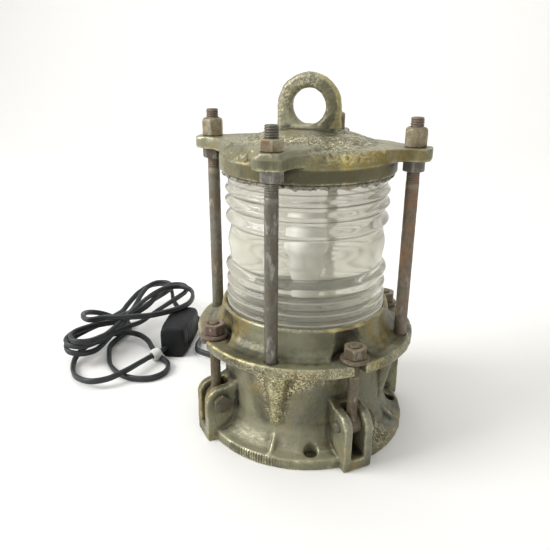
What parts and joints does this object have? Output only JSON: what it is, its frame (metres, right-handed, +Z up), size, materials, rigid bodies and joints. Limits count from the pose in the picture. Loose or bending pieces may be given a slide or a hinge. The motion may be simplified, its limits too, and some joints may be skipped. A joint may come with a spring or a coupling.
{
  "type": "ship lantern",
  "caption": "Cast brass ship lantern: ribbed glass clamped by tie rods between a footed base and a cap with a hanging eye, swing bolts round the base, and a cord with a plug.",
  "frame": {"origin": "centre of the base flange's underside, on the floor", "axes": "+Z up along the lens axis; the tie rods stand on the X and Y axes, the front rod on -Y; the hanging eye lies in the XZ plane"},
  "size_m": [0.4407, 0.3157, 0.3532],
  "materials": {
    "cast_brass": "olive-grey patina over cast brass, worn bright on edges",
    "rusty_steel": "dull, pitted, brown surface rust",
    "zinc_steel": "dull grey zinc",
    "lens_glass": "clear pressed glass, faintly grey",
    "pearl_glass": "pearl white bulb",
    "gasket_rubber": "matt, dry",
    "holder_plastic": "black phenolic",
    "bright_brass": "plain machined brass",
    "cord_pvc": "black PVC, slight sheen",
    "tie_plastic": "pale plastic",
    "blue_lead": "blue PVC sleeve",
    "brown_lead": "brown PVC sleeve"
  },
  "bodies": {
    "lantern": {"base_body": "cast_brass", "upper_flange": "cast_brass", "cap": "cast_brass", "body_gasket": "gasket_rubber", "lens_gasket": "gasket_rubber", "cap_gasket": "gasket_rubber", "lens": "lens_glass", "tie_rod_right": "rusty_steel", "top_nut_right": "rusty_steel", "lower_nut_right": "zinc_steel", "tie_rod_back": "rusty_steel", "top_nut_back": "rusty_steel", "lower_nut_back": "zinc_steel", "tie_rod_left": "rusty_steel", "top_nut_left": "rusty_steel", "lower_nut_left": "zinc_steel", "tie_rod_front": "rusty_steel", "top_nut_front": "rusty_steel", "lower_nut_front": "zinc_steel", "hinge_pin_back_right": "rusty_steel", "hinge_pin_back_left": "rusty_steel", "hinge_pin_front_left": "rusty_steel", "hinge_pin_front_right": "rusty_steel", "lamp_bracket": "bright_brass", "bracket_screw_left": "bright_brass", "bracket_screw_right": "bright_brass", "lampholder_nut": "bright_brass", "bulb_cap": "bright_brass", "gland_body": "bright_brass", "gland_nut": "bright_brass", "plug_pin_line": "bright_brass", "plug_pin_neutral": "bright_brass", "lampholder": "holder_plastic", "lampholder_ring": "holder_plastic", "bulb_glass": "pearl_glass", "cord_tail": "cord_pvc", "cord_hank": "cord_pvc", "cord_loop": "cord_pvc", "cord_plug_lead": "cord_pvc", "plug_body": "cord_pvc", "cord_tie": "tie_plastic", "inner_lead_blue": "blue_lead", "inner_lead_brown": "brown_lead"},
    "swing_bolt_back_right": {"swing_bolt_back_right": "rusty_steel"},
    "swing_washer_back_right": {"swing_washer_back_right": "rusty_steel"},
    "swing_nut_back_right": {"swing_nut_back_right": "rusty_steel"},
    "swing_bolt_back_left": {"swing_bolt_back_left": "rusty_steel"},
    "swing_washer_back_left": {"swing_washer_back_left": "rusty_steel"},
    "swing_nut_back_left": {"swing_nut_back_left": "rusty_steel"},
    "swing_bolt_front_left": {"swing_bolt_front_left": "rusty_steel"},
    "swing_washer_front_left": {"swing_washer_front_left": "rusty_steel"},
    "swing_nut_front_left": {"swing_nut_front_left": "rusty_steel"},
    "swing_bolt_front_right": {"swing_bolt_front_right": "rusty_steel"},
    "swing_washer_front_right": {"swing_washer_front_right": "rusty_steel"},
    "swing_nut_front_right": {"swing_nut_front_right": "rusty_steel"}
  },
  "joints": [
    {"name": "swing_back_right", "type": "hinge", "parent": "lantern", "child": "swing_bolt_back_right", "pos_m": [0.06993, 0.06993, 0.0425], "axis": [-0.7071, 0.7071, 0], "range_deg": [0, 90]},
    {"name": "rise_back_right", "type": "slide", "parent": "swing_bolt_back_right", "child": "swing_washer_back_right", "axis": [0, 0, 1], "range_m": [0, 0.0075]},
    {"name": "nut_turn_back_right", "type": "hinge", "parent": "swing_washer_back_right", "child": "swing_nut_back_right", "pos_m": [0.06993, 0.06993, 0.118], "axis": [0, 0, 1], "range_deg": [0, 1800]},
    {"name": "swing_back_left", "type": "hinge", "parent": "lantern", "child": "swing_bolt_back_left", "pos_m": [-0.06993, 0.06993, 0.0425], "axis": [-0.7071, -0.7071, 0], "range_deg": [0, 90]},
    {"name": "rise_back_left", "type": "slide", "parent": "swing_bolt_back_left", "child": "swing_washer_back_left", "axis": [0, 0, 1], "range_m": [0, 0.0075]},
    {"name": "nut_turn_back_left", "type": "hinge", "parent": "swing_washer_back_left", "child": "swing_nut_back_left", "pos_m": [-0.06993, 0.06993, 0.118], "axis": [0, 0, 1], "range_deg": [0, 1800]},
    {"name": "swing_front_left", "type": "hinge", "parent": "lantern", "child": "swing_bolt_front_left", "pos_m": [-0.06993, -0.06993, 0.0425], "axis": [0.7071, -0.7071, 0], "range_deg": [0, 90]},
    {"name": "rise_front_left", "type": "slide", "parent": "swing_bolt_front_left", "child": "swing_washer_front_left", "axis": [0, 0, 1], "range_m": [0, 0.0075]},
    {"name": "nut_turn_front_left", "type": "hinge", "parent": "swing_washer_front_left", "child": "swing_nut_front_left", "pos_m": [-0.06993, -0.06993, 0.118], "axis": [0, 0, 1], "range_deg": [0, 1800]},
    {"name": "swing_front_right", "type": "hinge", "parent": "lantern", "child": "swing_bolt_front_right", "pos_m": [0.06993, -0.06993, 0.0425], "axis": [0.7071, 0.7071, 0], "range_deg": [0, 90]},
    {"name": "rise_front_right", "type": "slide", "parent": "swing_bolt_front_right", "child": "swing_washer_front_right", "axis": [0, 0, 1], "range_m": [0, 0.0075]},
    {"name": "nut_turn_front_right", "type": "hinge", "parent": "swing_washer_front_right", "child": "swing_nut_front_right", "pos_m": [0.06993, -0.06993, 0.118], "axis": [0, 0, 1], "range_deg": [0, 1800]}
  ],
  "couplings": [
    {"joint": "nut_turn_back_right", "follows": "rise_back_right", "rad_per_m": 4188.8},
    {"joint": "nut_turn_back_left", "follows": "rise_back_left", "rad_per_m": 4188.8},
    {"joint": "nut_turn_front_left", "follows": "rise_front_left", "rad_per_m": 4188.8},
    {"joint": "nut_turn_front_right", "follows": "rise_front_right", "rad_per_m": 4188.8}
  ]
}
